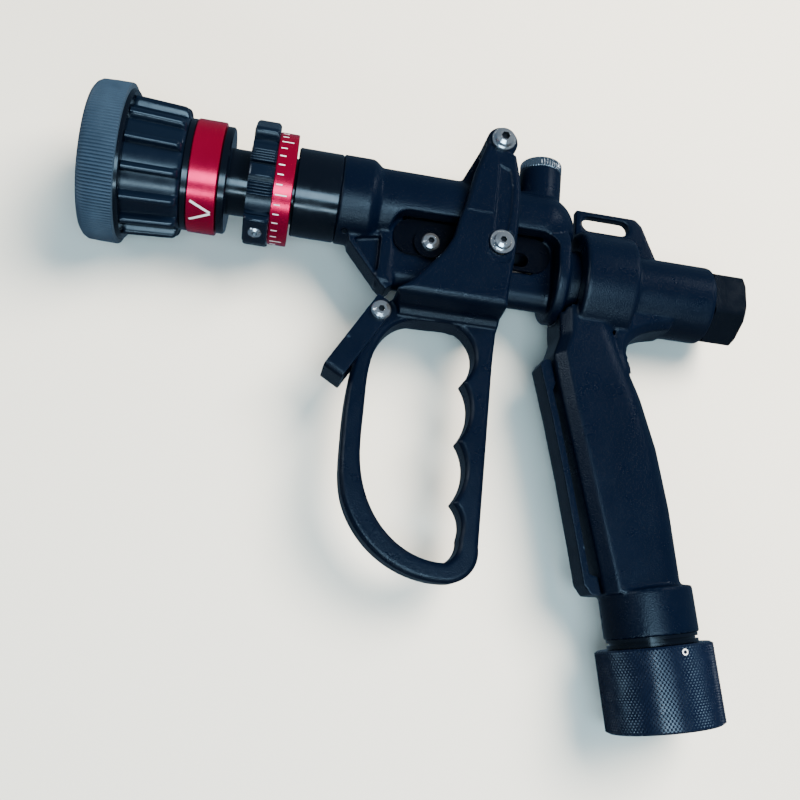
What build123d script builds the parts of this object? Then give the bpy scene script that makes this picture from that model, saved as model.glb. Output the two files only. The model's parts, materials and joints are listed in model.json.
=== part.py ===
from build123d import *
import os
from math import cos, pi, radians, sin

# Pistol-grip fire hose nozzle, lying on its right side. Lengths are millimetres.
# The design frame has the barrel axis on X (water leaves towards -X), +Y towards the nozzle's
# top and +Z out of its left side; Z = 0 is the middle plane. Everything is written out with the
# origin moved to the centre of the inlet mouth.

# ---- driving dimensions -------------------------------------------------------------------------
RUN = 0.05                  # radial running clearance
GAP = 0.4                   # free gap between faces of different moving bodies

BARREL_R = 19.5             # cast barrel
WATER_R = 12.0              # water way
COLLAR_R = 23.0             # front collar of the barrel casting
COLLAR_X = (-227.0, -209.5)
SPIGOT_R = 18.0             # front tube's spigot in the collar
SPIGOT_END = -212.0

NECK_R = 16.8               # neck that the two turning rings run on
NECK_X = (-333.0, -250.0)
FRONT_TUBE_R = 22.7

BUMPER_X = (-352.0, -334.5)
BUMPER_R = 40.0
SLEEVE_X = (-332.5, -305.0)
SLEEVE_R = (31.0, 29.0)     # root radius of the ribbed sleeve, front and rear
RIB_R = (35.0, 33.2)        # crest radius of its ribs, front and rear
RIB_COUNT = 14
RIB_START = 15.1            # angle of the first rib, from +Y towards +Z
SCALE_R = 28.6              # both red scale rings
PATTERN_SCALE_X = (-301.5, -287.5)
PATTERN_END_X = -283.0
FLOW_X = (-273.0, -260.5)
FLOW_SCALE_X = (-260.5, -250.9)
FLOW_ROOT_R = 28.2
FLOW_LUG_R = 32.0
FLOW_LUG_ANGLES = (42.0, 162.0, 282.0)
FLOW_SCREW_ANGLE = 162.0    # the one lug that carries a screw
MOUTH_R = 31.0              # open front of the bumper
MOUTH_DEPTH = 10.0

VALVE_Y = -27.9             # axis of the valve chamber and rear tube
BIG_COLLAR_R = 29.0
BIG_COLLAR_X = (-100.0, -71.5)
REAR_TUBE_R = 20.6
REAR_TUBE_END = -26.5
CHAMBER_R = 15.0
FLANGE_R = 22.6
FLANGE_X = (-113.0, -106.5)
SEAT_X = (-101.0, -97.0)
CAP_X = (-26.5, -9.5)
CAP_FLAT_R = 18.2           # half the width across the flats of the rear cap

WEB_Z = 8.0                 # half thickness of the window's web
GUSSET_POCKET = [(-217.0, -23.0), (-216.4, -25.4), (-203.4, -41.4), (-203.4, -20.0)]
GUSSET_POCKET_Z = 5.0       # face of the pocket, from the middle plane
RAIL_Y = -37.0
RAIL_R = 8.3
WINDOW_X = (-199.5, -112.5)
WINDOW_Y = (-45.4, -8.0)

PIVOT = (-148.0, 34.6)      # trigger pivot
BOLT = (-144.8, -22.1)      # crosshead bolt
TRIGGER_TRAVEL = 11.0       # degrees; the loop then stands 2.8 off the grip strip
CHEEK_Z = (20.5, 27.0)
CHEEK_END_R = 8.2           # round end of each cheek at the pivot
CHEEK_CHAMFER = 1.6
CHEEK_CHANNEL = [(-149.3, 21.0), (-149.6, -16.0), (-141.9, -16.0), (-140.9, -5.0),
                 (-140.6, 8.0), (-142.6, 18.0)]
LOOP_Z = 8.0
GUARD_CHAMFER = 1.8         # on every edge of the finger guard
LATCH_PIVOT = (-200.0, -62.0)
LATCH_Z = (8.5, 12.5)
LATCH_HEAD_R = 9.0          # reach of the latch's square head round its pivot
LATCH_REACH = 39.5

COVER_SCREW = (-178.3, -20.9)
SET_SCREW_ANGLE = 68.0      # from the left side towards the underside

BOSS_X = -119.8
BOSS_R = 11.3
BOSS_TOP = 33.8

GRIP_ORIGIN = (-90.1, 0.0)
GRIP_TILT = -78.69          # direction of the grip axis in the XY plane, degrees
NIPPLE_S = 208.1            # distances along the grip axis from GRIP_ORIGIN
COUPLING_S = (212.8, 251.2)
COUPLING_R = 28.5
THREAD_R = 22.4             # G 1 1/2 female, crest radius
THREAD_DEPTH = 14.0


# ---- helpers ------------------------------------------------------------------------------------
def on_grip(s, t=0.0):
    """Point in the XY plane s along the grip axis and t towards the back of the hand."""
    a = radians(GRIP_TILT)
    return (GRIP_ORIGIN[0] + s * cos(a) - t * sin(a), GRIP_ORIGIN[1] + s * sin(a) + t * cos(a))


def turned(outline, y=0.0):
    """Solid turned about an X-parallel axis at height y, from (x, radius) corners."""
    return Pos(0, y, 0) * revolve(make_face(Polyline(*outline, close=True)), Axis.X)


def turned_on_grip(outline):
    """Solid turned about the grip axis, from (distance along it, radius) corners."""
    body = revolve(make_face(Polyline(*outline, close=True)), Axis.X)
    return Pos(*GRIP_ORIGIN, 0) * Rot(0, 0, GRIP_TILT) * body


def ring(x0, x1, r_in, r_out, y=0.0, edge=0.0):
    """Ring between two X stations; edge is the chamfer on both outer corners."""
    if edge:
        return turned([(x0, r_in), (x1, r_in), (x1, r_out - edge), (x1 - edge, r_out),
                       (x0 + edge, r_out), (x0, r_out - edge)], y)
    return turned([(x0, r_in), (x1, r_in), (x1, r_out), (x0, r_out)], y)


def rod(x0, x1, r, y=0.0):
    """Plain round bar along X."""
    return Pos((x0 + x1) / 2, y, 0) * Rot(0, 90, 0) * Cylinder(r, abs(x1 - x0))


def pin_z(x, y, z0, z1, r):
    """Plain round bar along Z."""
    return Pos(x, y, (z0 + z1) / 2) * Cylinder(r, abs(z1 - z0))


def block(x, y, z):
    """Box from three (low, high) pairs."""
    size = [b - a for a, b in (x, y, z)]
    return Pos(*[(a + b) / 2 for a, b in (x, y, z)]) * Box(*size)


def plate(outline, z0, z1):
    """Flat plate from (x, y) corners between two Z levels."""
    return Pos(0, 0, z0) * extrude(make_face(Polyline(*outline, close=True)), z1 - z0)


def turn_about(shape, centre, angle):
    """The shape turned about a Z-parallel line."""
    return Pos(*centre, 0) * Rot(0, 0, angle) * Pos(-centre[0], -centre[1], 0) * shape


def both_sides(shape):
    """The shape and its mirror image in the middle plane."""
    return [shape, mirror(shape, Plane.XY)]


def button_screw(r, head_r, head_h, length, socket):
    """Button-head socket screw; head on top of Z = 0, shank below."""
    head = revolve(make_face(Polyline((0, 0), (head_r, 0), (head_r, 0.25 * head_h),
                                      (0.86 * head_r, 0.7 * head_h), (0.55 * head_r, head_h),
                                      (0, head_h), close=True).rotate(Axis.X, 90)), Axis.Z)
    key = Pos(0, 0, 0.35 * head_h) * extrude(RegularPolygon(socket / 2, 6, major_radius=False), head_h)
    return head - key + Pos(0, 0, -length / 2) * Cylinder(r, length)


PARTS = {}


def keep(name, *shapes):
    """Record a named sub-part, moved so that the inlet mouth's centre is the origin."""
    mouth = on_grip(COUPLING_S[1])
    PARTS[name] = [Pos(-mouth[0], -mouth[1], 0) * s for s in shapes]


# ---- barrel casting -----------------------------------------------------------------------------
def window_cut(side):
    """Pocket beside the web on one side, with rounded corners."""
    face = RectangleRounded(WINDOW_X[1] - WINDOW_X[0], WINDOW_Y[1] - WINDOW_Y[0] + 20.0, 9.0)
    cut = extrude(face, 40.0)
    placed = Pos(sum(WINDOW_X) / 2, sum(WINDOW_Y) / 2 - 10.0, WEB_Z) * cut
    return placed if side > 0 else mirror(placed, Plane.XY)


def barrel_body():
    shell = turned([(COLLAR_X[0], 0), (COLLAR_X[0], COLLAR_R), (COLLAR_X[1] - 2.0, COLLAR_R),
                    (COLLAR_X[1], COLLAR_R - 1.0), (COLLAR_X[1] + 3.0, BARREL_R),
                    (BOSS_X, BARREL_R), (BOSS_X, 0)])
    shell += Pos(BOSS_X, 0, 0) * Sphere(BARREL_R)
    # neck that carries the elbow down to the flange
    shell += rod(-116.0, FLANGE_X[1], 21.0, VALVE_Y + 8.0)
    shell += block((-199.5, -108.0), (RAIL_Y, -10.0), (-WEB_Z, WEB_Z))
    for side in (1, -1):
        shell -= window_cut(side)
    shell += ring(*FLANGE_X, 0.1, FLANGE_R, VALVE_Y, 1.0)
    shell += rod(FLANGE_X[1] - 0.5, SEAT_X[1] - 0.5, CHAMBER_R + 3.0, VALVE_Y)
    shell += rod(-204.0, -108.0, RAIL_R, RAIL_Y)
    # front frame bar and triangular gusset under the collar
    shell += plate([(-221.0, -18.0), (-219.8, -25.0), (-202.5, -45.2), (-198.5, -48.4),
                    (-195.2, -45.5), (-195.2, -12.0)], -WEB_Z, WEB_Z)
    for side in (1, -1):
        z0, z1 = sorted((side * GUSSET_POCKET_Z, side * 20.0))
        shell -= plate(GUSSET_POCKET, z0, z1)
    shell += block((-203.6, -197.5), (-44.0, -8.0), (-WEB_Z - 1.0, WEB_Z + 1.0))
    # trigger lug on the back of the barrel
    lug = plate([(-156.0, 36.5), (-167.0, 12.0), (-133.0, 12.0), (-140.2, 32.0)], -9.5, 9.5)
    shell += lug
    shell += pin_z(*PIVOT, -CHEEK_Z[0] + GAP, CHEEK_Z[0] - GAP, 8.2)
    shell += Pos(BOSS_X, BOSS_TOP / 2, 0) * Rot(90, 0, 0) * Cylinder(BOSS_R, BOSS_TOP)
    # water way: barrel bore, port down to the valve seat, cleaning boss
    shell -= rod(COLLAR_X[0] - 1.0, -110.0, WATER_R)
    shell -= rod(COLLAR_X[0] - 1.0, SPIGOT_END + 0.2, SPIGOT_R)
    shell -= Pos(BOSS_X, BOSS_TOP / 2, 0) * Rot(90, 0, 0) * Cylinder(6.0, BOSS_TOP + 1.0)
    shell -= block((-119.0, -106.0), (VALVE_Y, 0.0), (-6.0, 6.0)) & block((-111.5, -106.0),
                                                                         (-60.0, 5.0), (-9.0, 9.0))
    shell -= rod(-110.5, SEAT_X[0], 11.0, VALVE_Y)
    shell -= rod(SEAT_X[0], 0.0, 14.0, VALVE_Y)
    # guide slot for the crosshead and bore for the gland
    shell -= block((-168.0, -123.0), (-28.6, -17.5), (-20.0, 20.0))
    shell -= block((-168.0, -123.0), (-32.2, -17.5), (-4.2, 4.2))
    shell -= rod(-123.5, -110.0, 6.0, VALVE_Y)
    # pivot, cover screw and set screw holes
    shell -= collar_screw(1.5, 4.6)
    shell -= pin_z(*PIVOT, -40.0, 40.0, 3.0)
    shell -= pin_z(*COVER_SCREW, -40.0, 40.0, 2.5)
    return shell


def side_cover():
    """Flat cover in the window on the left side, slotted for the crosshead bolt."""
    face = Pos(-156.0, -18.6, 0) * RectangleRounded(83.0, 19.0, 9.3)
    cover = Pos(0, 0, WEB_Z) * extrude(face, 1.5)
    slot = Pos(BOLT[0] + 7.2, BOLT[1], 0) * SlotCenterToCenter(15.4, 2 * 3.8)
    cover -= Pos(0, 0, WEB_Z - 1.0) * extrude(slot, 4.0)
    return cover - pin_z(*COVER_SCREW, 0.0, 20.0, 2.5)


def collar_screw(r, length):
    """Grub screw, or its hole, low on the left of the front collar, 1.4 mm deep from the surface."""
    radius = COLLAR_R - 1.4
    turn = radians(SET_SCREW_ANGLE)
    spot = Pos(COLLAR_X[0] + 4.5, -radius * sin(turn), radius * cos(turn))
    return spot * Rot(SET_SCREW_ANGLE, 0, 0) * Cylinder(r, length)


def build_barrel():
    keep("barrel_body", barrel_body())
    keep("side_covers", *both_sides(side_cover()))
    top = WEB_Z + 1.5
    boss = pin_z(*COVER_SCREW, top, top + 1.6, 8.5) - pin_z(*COVER_SCREW, 0.0, 20.0, 2.5)
    keep("cover_bosses", *both_sides(boss))
    screw = Pos(*COVER_SCREW, top + 1.6) * button_screw(2.5, 4.75, 2.75, 9.0, 3.0)
    keep("cover_screws", *both_sides(screw))
    keep("collar_set_screw", collar_screw(1.5, 2.6))
    cap_y = (BOSS_TOP, BOSS_TOP + 5.4)
    cap = Pos(BOSS_X, sum(cap_y) / 2, 0) * Rot(90, 0, 0) * Cylinder(BOSS_R, cap_y[1] - cap_y[0])
    plug = Pos(BOSS_X, BOSS_TOP - 4.0, 0) * Rot(90, 0, 0) * Cylinder(6.0, 8.0)
    keep("cleaning_cap", cap + plug)


# ---- front nozzle -------------------------------------------------------------------------------
def build_nozzle():
    tube = turned([(-250.0, WATER_R), (SPIGOT_END, WATER_R), (SPIGOT_END, SPIGOT_R - 2.0),
                   (-216.0, SPIGOT_R - 2.0), (-216.0, SPIGOT_R), (COLLAR_X[0], SPIGOT_R),
                   (COLLAR_X[0], FRONT_TUBE_R - 0.6), (COLLAR_X[0] - 0.8, FRONT_TUBE_R),
                   (-249.2, FRONT_TUBE_R), (-250.0, FRONT_TUBE_R - 0.8)])
    keep("front_tube", tube)
    keep("front_tube_oring", ring(-216.0, -213.4, SPIGOT_R - 2.0, SPIGOT_R))
    neck = turned([(NECK_X[0], 9.0), (-300.0, WATER_R), (-250.0, WATER_R), (-250.0, NECK_R),
                   (-318.0, NECK_R), (-318.0, NECK_R - 3.0), (NECK_X[0], NECK_R - 3.0)])
    keep("neck_tube", neck)
    keep("neck_retainer", ring(-322.0, -318.0, NECK_R - 3.0, NECK_R + 2.6))
    spider = ring(-312.0, -308.0, 9.4, 10.8)
    for k in range(3):
        spider += turn_about_x(block((-312.0, -308.0), (2.5, 10.2), (-1.2, 1.2)), 120.0 * k)
    spider += ring(-312.0, -308.0, 2.5, 4.5)
    keep("deflector_spider", spider)
    keep("deflector_stem", rod(-341.8, -306.0, 2.5))
    keep("deflector_nut", ring(-308.0, -306.2, 2.5, 4.4))
    head = turned([(-341.5, 2.5), (-336.0, 2.5), (-334.5, 5.0), (-338.0, 13.0), (-341.5, 13.5)])
    keep("deflector_head", head)


def turn_about_x(shape, angle):
    """The shape turned about the barrel axis."""
    return Rot(angle, 0, 0) * shape


def sleeve_rib():
    """One rounded finger rib of the pattern sleeve, at the top."""
    x0, x1 = SLEEVE_X[0] + 0.4, SLEEVE_X[1] - 0.6
    flank = plate([(x0, SLEEVE_R[0] - 2.0), (x0, RIB_R[0]), (x1 - 2.0, RIB_R[1]),
                   (x1, RIB_R[1] - 2.0), (x1, SLEEVE_R[1] - 2.0)], -2.6, 2.6)
    return flank


def build_pattern_sleeve():
    x0, x1 = SLEEVE_X
    sleeve = turned([(x0 - 2.0, 27.0), (x0 + 8.0, 24.0), (-312.0, 24.0), (-312.0, NECK_R + RUN),
                     (PATTERN_END_X, NECK_R + RUN), (PATTERN_END_X, 23.5), (PATTERN_SCALE_X[0], 23.5),
                     (PATTERN_SCALE_X[0], 26.6), (x1, 26.6), (x1, SLEEVE_R[1]),
                     (x0, SLEEVE_R[0]), (x0 - 2.0, SLEEVE_R[0])])
    for k in range(RIB_COUNT):
        sleeve += turn_about_x(sleeve_rib(), RIB_START + 360.0 * k / RIB_COUNT)
    keep("pattern_sleeve", sleeve)
    flange = turned([(BUMPER_X[1], SLEEVE_R[0]), (SLEEVE_X[0], SLEEVE_R[0]), (SLEEVE_X[0], 36.4),
                     (SLEEVE_X[0] - 0.6, 37.0), (BUMPER_X[1], 37.4)])
    keep("bumper_clamp_ring", flange)
    bumper = turned([(BUMPER_X[0], MOUTH_R), (BUMPER_X[0] + MOUTH_DEPTH, MOUTH_R),
                     (BUMPER_X[1], MOUTH_R - 2.5), (BUMPER_X[1], BUMPER_R - 1.0),
                     (BUMPER_X[1] - 1.0, BUMPER_R), (BUMPER_X[0] + 3.0, BUMPER_R - 0.4),
                     (BUMPER_X[0], BUMPER_R - 3.0)])
    keep("rubber_bumper", bumper)
    keep("front_lock_ring", ring(SLEEVE_X[1], PATTERN_SCALE_X[0], 26.6, 28.0, 0.0, 0.5))
    keep("pattern_scale_ring", ring(*PATTERN_SCALE_X, 23.5, SCALE_R, 0.0, 0.4))
    keep("rear_lock_ring", ring(PATTERN_SCALE_X[1], PATTERN_END_X, 23.5, 27.0, 0.0, 0.8))


def build_flow_ring():
    middle = sum(FLOW_X) / 2
    body = ring(*FLOW_X, NECK_R + RUN, FLOW_ROOT_R) + ring(*FLOW_SCALE_X, NECK_R + RUN, 25.5)
    lug = plate([(FLOW_X[0], 25.0), (FLOW_X[0], FLOW_LUG_R - 1.2), (FLOW_X[0] + 1.2, FLOW_LUG_R),
                 (FLOW_X[1] - 1.2, FLOW_LUG_R), (FLOW_X[1], FLOW_LUG_R - 1.2),
                 (FLOW_X[1], 25.0)], -9.5, 9.5)
    block_between = ring(*FLOW_X, FLOW_ROOT_R - 0.5, FLOW_ROOT_R + 1.5, 0.0, 0.4)
    hole = Pos(middle, FLOW_LUG_R - 3.0, 0) * Rot(90, 0, 0) * Cylinder(2.0, 6.2)
    seat = Pos(middle, FLOW_LUG_R - 0.2, 0) * Rot(90, 0, 0) * Cylinder(4.2, 2.0)
    screw = Pos(middle, FLOW_LUG_R - 1.2, 0) * Rot(-90, 0, 0) * button_screw(2.0, 3.8, 2.2, 4.6, 2.5)
    arc = ring(FLOW_X[0] + 1.6, FLOW_X[1] - 1.6, FLOW_ROOT_R, FLOW_ROOT_R + 2.0)
    wedge = block((-280.0, -255.0), (FLOW_ROOT_R - 8.0, 40.0), (-4.2, 4.2))
    pads = []
    for angle in FLOW_LUG_ANGLES:
        body += turn_about_x(lug, angle)
        body += turn_about_x(block_between & block((-280.0, -255.0), (10.0, 40.0), (-3.4, 3.4)),
                             angle + 60.0)
        pads.append(turn_about_x(arc & wedge, angle + 43.5))
        pads.append(turn_about_x(arc & wedge, angle + 76.5))
    for recess in (hole, seat):
        body -= turn_about_x(recess, FLOW_SCREW_ANGLE)
    keep("flow_selector_ring", body)
    keep("flow_grip_pads", *pads)
    keep("flow_ring_screw", turn_about_x(screw, FLOW_SCREW_ANGLE))
    keep("flow_scale_ring", ring(*FLOW_SCALE_X, 25.5, SCALE_R, 0.0, 0.4))


# ---- valve body and grip ------------------------------------------------------------------------
GRIP_SECTIONS = (           # distance along the grip, front and back of the section
    (34.0, -26.0, 8.0), (56.0, -28.5, 3.0), (66.0, -33.5, 5.0), (92.0, -32.0, 11.2),
    (118.0, -29.8, 15.2), (148.0, -27.5, 16.8), (187.0, -24.6, 16.4))
GRIP_HALF = 16.5
GRIP_BACK_R = 13.0          # rounding of the two back corners
GRIP_FRONT_CHAMFER = 5.5


def grip_section(s, front, back):
    """Section across the grip: chamfered front corners, well rounded back corners."""
    flat = GRIP_HALF - GRIP_FRONT_CHAMFER
    side = back - GRIP_BACK_R
    bulge = GRIP_BACK_R * sin(radians(45.0))
    low = GRIP_HALF - GRIP_BACK_R
    edge = [Polyline((side, -GRIP_HALF), (front + GRIP_FRONT_CHAMFER, -GRIP_HALF), (front, -flat),
                     (front, flat), (front + GRIP_FRONT_CHAMFER, GRIP_HALF), (side, GRIP_HALF)),
            ThreePointArc((side, GRIP_HALF), (side + bulge, low + bulge), (back, low)),
            Line((back, low), (back, -low)),
            ThreePointArc((back, -low), (side + bulge, -low - bulge), (side, -GRIP_HALF))]
    a = radians(GRIP_TILT)
    place = Plane(origin=(*on_grip(s), 0), x_dir=(-sin(a), cos(a), 0), z_dir=(cos(a), sin(a), 0))
    return place * make_face(edge)


def grip_loft():
    return loft([grip_section(*station) for station in GRIP_SECTIONS], ruled=True)


def crotch_web():
    """Thick web that rounds the crotch between the grip and the rear tube."""
    corner = [Polyline((-48.0, -48.2), (-48.0, -34.0), (-84.0, -34.0), on_grip(78.0, 2.0),
                       on_grip(78.0, 7.4)),
              Spline(on_grip(78.0, 7.4), (-69.9, -66.5), (-70.4, -61.0), (-67.0, -55.7),
                     (-61.0, -51.8), (-48.0, -48.2))]
    half = GRIP_HALF - 2.5
    web = Pos(0, 0, -half) * extrude(make_face(corner), 2 * half)
    crease = [e for e in web.edges() if abs(e.center().Z) > half - 0.1
              and e.geom_type == GeomType.BSPLINE]
    return chamfer(crease, 4.0)


def valve_body():
    body = turned([(BIG_COLLAR_X[0], 0), (BIG_COLLAR_X[0], BIG_COLLAR_R - 1.5),
                   (BIG_COLLAR_X[0] + 1.5, BIG_COLLAR_R), (BIG_COLLAR_X[1] - 1.0, BIG_COLLAR_R),
                   (BIG_COLLAR_X[1], BIG_COLLAR_R - 1.0), (BIG_COLLAR_X[1] + 0.5, REAR_TUBE_R + 1.5),
                   (BIG_COLLAR_X[1] + 2.0, REAR_TUBE_R),
                   (REAR_TUBE_END - 0.6, REAR_TUBE_R), (REAR_TUBE_END, REAR_TUBE_R - 0.6),
                   (REAR_TUBE_END, 0)], VALVE_Y)
    body += grip_loft()
    body += turned_on_grip([(182.0, 0), (186.0, 22.9), (NIPPLE_S, 22.9), (NIPPLE_S, 0)])
    strap = plate([(-99.0, -20.0), (-99.5, 15.6), (-66.0, 15.6), (-62.0, 12.4), (-52.0, -9.0),
                   (-48.0, -20.0)], -3.0, 3.0)
    slot = Pos(-82.5, 8.6, -5.0) * extrude(SlotOverall(26.0, 8.0), 10.0)
    body += strap
    body += crotch_web()
    body -= rod(-120.0, BIG_COLLAR_X[0], FLANGE_R + 0.1, VALVE_Y)
    body -= rod(BIG_COLLAR_X[0] - 1.0, SEAT_X[1] - 0.4, CHAMBER_R + 3.0, VALVE_Y)
    body -= rod(SEAT_X[1] - 1.0, 0.0, CHAMBER_R, VALVE_Y)
    body -= turned_on_grip([(24.0, 0), (24.0, 12.0), (NIPPLE_S - 16.0, 12.0),
                            (NIPPLE_S - 16.0, 17.0), (NIPPLE_S + 1.0, 17.0), (NIPPLE_S + 1.0, 0)])
    return body - slot


STRIP = ((70.0, -40.0), (97.0, -37.6), (128.0, -35.6), (158.0, -34.2), (181.0, -33.4))


def grip_strip():
    """Front guard strip: one long bar that stands off the grip and is footed at both ends."""
    front = [on_grip(s, t) for s, t in STRIP]
    top_foot = [on_grip(67.0, -37.5), on_grip(67.5, -33.9)]
    back = [on_grip(s, t + 3.6) for s, t in STRIP[1:-1]]
    bottom = [on_grip(186.0, -30.6), on_grip(187.0, -25.2), on_grip(178.0, -25.9),
              on_grip(176.0, -29.9)]
    outline = [*top_foot[::-1], *front, *bottom, *back[::-1], on_grip(84.0, -35.2),
               on_grip(80.0, -33.3)]
    return plate(outline, -8.0, 8.0)


def build_valve_body():
    keep("valve_body", valve_body())
    keep("grip_front_strip", grip_strip())
    cap = turned([(CAP_X[0], 0), (CAP_X[0], 20.6), (CAP_X[1] - 1.2, 20.6), (CAP_X[1], 19.0),
                  (CAP_X[1], 0)], VALVE_Y)
    hexagon = Pos(CAP_X[0] - 1.0, VALVE_Y, 0) * Rot(0, 90, 0) * Rot(0, 0, 25.0) * extrude(
        RegularPolygon(CAP_FLAT_R, 6, major_radius=False), CAP_X[1] - CAP_X[0] + 2.0)
    cap = cap & hexagon
    cap += rod(CAP_X[0] - 6.0, CAP_X[0], CHAMBER_R, VALVE_Y)
    cap -= rod(CAP_X[0] - 7.0, CAP_X[0] + 12.0, 9.6, VALVE_Y)
    cap -= ring(CAP_X[0] - 2.2, CAP_X[0], CHAMBER_R - 1.6, CHAMBER_R + 0.01, VALVE_Y)
    keep("rear_hex_cap", cap)
    keep("rear_cap_oring", ring(CAP_X[0] - 2.2, CAP_X[0], CHAMBER_R - 1.6, CHAMBER_R, VALVE_Y))


# ---- valve mechanism ----------------------------------------------------------------------------
POPPET_X = (-96.6, -90.0)


def build_valve():
    keep("valve_seat", ring(*SEAT_X, 10.0, 14.0, VALVE_Y))
    keep("gland_packing", ring(-121.0, -114.0, 3.0 + RUN, 6.0, VALVE_Y))
    keep("gland_nut", ring(-123.4, -121.0, 3.0 + RUN, 6.0, VALVE_Y))
    poppet = turned([(POPPET_X[0], 3.0), (POPPET_X[1], 3.0), (POPPET_X[1], 6.8), (-93.0, 12.6),
                     (POPPET_X[0], 12.6)], VALVE_Y)
    keep("poppet", poppet)
    keep("valve_stem", rod(-151.0, -82.0, 3.0, VALVE_Y))
    keep("poppet_nut", ring(POPPET_X[1], -86.0, 3.0, 5.5, VALVE_Y))
    keep("valve_spring", spring(-89.4, CAP_X[0] + 11.4, 8.2, 1.0, 7))
    top, low = -17.9, -28.2
    head = block((-151.0, -138.6), (low, top), (-WEB_Z + GAP, WEB_Z - GAP))
    head += block((-151.0, -138.6), (-31.8, low + 0.5), (-3.8, 3.8))
    head -= rod(-152.0, -138.0, 3.0, VALVE_Y)
    head -= pin_z(*BOLT, -20.0, 20.0, 2.5)
    keep("crosshead", head)
    z_head = CHEEK_Z[1] + 0.9
    keep("crosshead_bolt", pin_z(*BOLT, -z_head - 4.0, z_head, 2.5)
         + Pos(*BOLT, z_head) * button_screw(2.5, 4.75, 2.8, 3.0, 3.0))
    nut = Pos(*BOLT, -z_head - 4.0) * extrude(RegularPolygon(4.0, 6, major_radius=False), 4.0)
    keep("crosshead_nut", nut - pin_z(*BOLT, -40.0, 40.0, 2.5))
    washer = pin_z(*BOLT, CHEEK_Z[1] - 0.2, z_head, 6.2) - pin_z(*BOLT, 0.0, 40.0, 2.5)
    keep("crosshead_washers", *both_sides(washer))
    bush = pin_z(*BOLT, WEB_Z - GAP, CHEEK_Z[1] - 0.2, 3.5) - pin_z(*BOLT, 0.0, 40.0, 2.5)
    keep("crosshead_bushes", *both_sides(bush))


def spring(x0, x1, r, wire, turns):
    """Round-wire compression spring along the valve axis."""
    length = x1 - x0
    path = Helix(pitch=(length - 2 * wire) / turns, height=length - 2 * wire, radius=r)
    start = Plane(origin=path @ 0, z_dir=path % 0)
    coil = sweep(start * Circle(wire), path=path)
    return Pos(x0 + wire, VALVE_Y, 0) * Rot(0, 90, 0) * coil


# ---- trigger and latch --------------------------------------------------------------------------
def fork_outline():
    """Side view of the fork: two cheeks from the pivot down to the bridge above the finger loop."""
    edge = Polyline((-155.8, 32.0), (-160.8, 15.5), (-164.6, -4.7), (-167.0, -12.4),
                    (-168.8, -22.0), (-173.0, -30.8), (-182.1, -42.0), (-188.4, -49.4),
                    (-196.0, -55.0), (-198.5, -62.5), (-139.4, -62.5), (-139.0, -46.6),
                    (-137.4, -31.3), (-136.4, -10.9), (-136.1, 5.0), (-137.4, 16.0),
                    (-140.2, 28.0), close=True)
    return make_face(edge) + Pos(*PIVOT) * Circle(CHEEK_END_R)


def fork_front_view():
    """The fork seen along the barrel: full width at the cheeks, sweeping in to the loop."""
    sweep_in = [(-50.5, CHEEK_Z[1]), (-53.4, 26.3), (-55.2, 24.0), (-56.4, 20.0), (-57.4, 15.0),
                (-58.8, 10.8), (-60.8, 8.7), (-62.6, LOOP_Z)]
    left = Spline(*sweep_in, tangents=[(-1, 0), (-1, 0)])
    right = Spline(*[(y, -z) for y, z in sweep_in], tangents=[(-1, 0), (-1, 0)])
    top = 50.0
    start, end = sweep_in[0][0], sweep_in[-1][0]
    rest = [Line((top, CHEEK_Z[1]), (start, CHEEK_Z[1])), Line((end, LOOP_Z), (end, -LOOP_Z)),
            Line((start, -CHEEK_Z[1]), (top, -CHEEK_Z[1])),
            Line((top, -CHEEK_Z[1]), (top, CHEEK_Z[1]))]
    return Plane(origin=(-215.0, 0, 0), x_dir=(0, 1, 0), z_dir=(1, 0, 0)) * make_face(
        [*rest, left, right])


def fork():
    """Both cheeks and the bridge, with the outside edges chamfered."""
    body = Pos(0, 0, -CHEEK_Z[1]) * extrude(fork_outline(), 2 * CHEEK_Z[1])
    faces = body.faces().sort_by(Axis.Z)
    body = chamfer(faces[0].edges() + faces[-1].edges(), CHEEK_CHAMFER)
    body = body & extrude(fork_front_view(), 90.0)
    for cut in both_sides(plate(CHEEK_CHANNEL, CHEEK_Z[1] - 1.0, CHEEK_Z[1] + 1.0)):
        body -= cut
    # lower half of the cheek falls away from a low crease
    crease = Plane(origin=(-190.0, 0, 0), x_dir=(0, 1, 0), z_dir=(1, 0, 0)) * make_face(Polyline(
        (-6.8, CHEEK_Z[1] + 1.0), (-6.8, CHEEK_Z[1] - 0.6), (-34.0, CHEEK_Z[1]),
        (-34.0, CHEEK_Z[1] + 1.0), close=True))
    for cut in both_sides(extrude(crease, 190.0 + CHEEK_CHANNEL[0][0] - 0.4)):
        body -= cut
    return body


def finger_opening():
    """Outline of the space for four fingers, scalloped on the grip side."""
    edge = [
        Line((-166.0, -61.9), (-178.0, -62.4)),
        Spline((-178.0, -62.4), (-194.0, -69.0), (-201.0, -84.0), (-202.3, -110.0),
               (-201.2, -138.0), (-196.0, -155.0), (-184.0, -171.0), (-168.0, -179.8),
               (-156.0, -181.0)),
        ThreePointArc((-156.0, -181.0), (-151.2, -176.5), (-150.0, -169.0)),
        ThreePointArc((-150.0, -169.0), (-149.8, -160.0), (-154.6, -152.0)),
        ThreePointArc((-154.6, -152.0), (-149.5, -136.5), (-154.6, -121.4)),
        ThreePointArc((-154.6, -121.4), (-149.5, -106.0), (-154.6, -91.0)),
        ThreePointArc((-154.6, -91.0), (-149.4, -78.0), (-153.6, -67.6)),
        ThreePointArc((-153.6, -67.6), (-159.0, -63.2), (-166.0, -61.9)),
    ]
    return make_face(edge)


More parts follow.
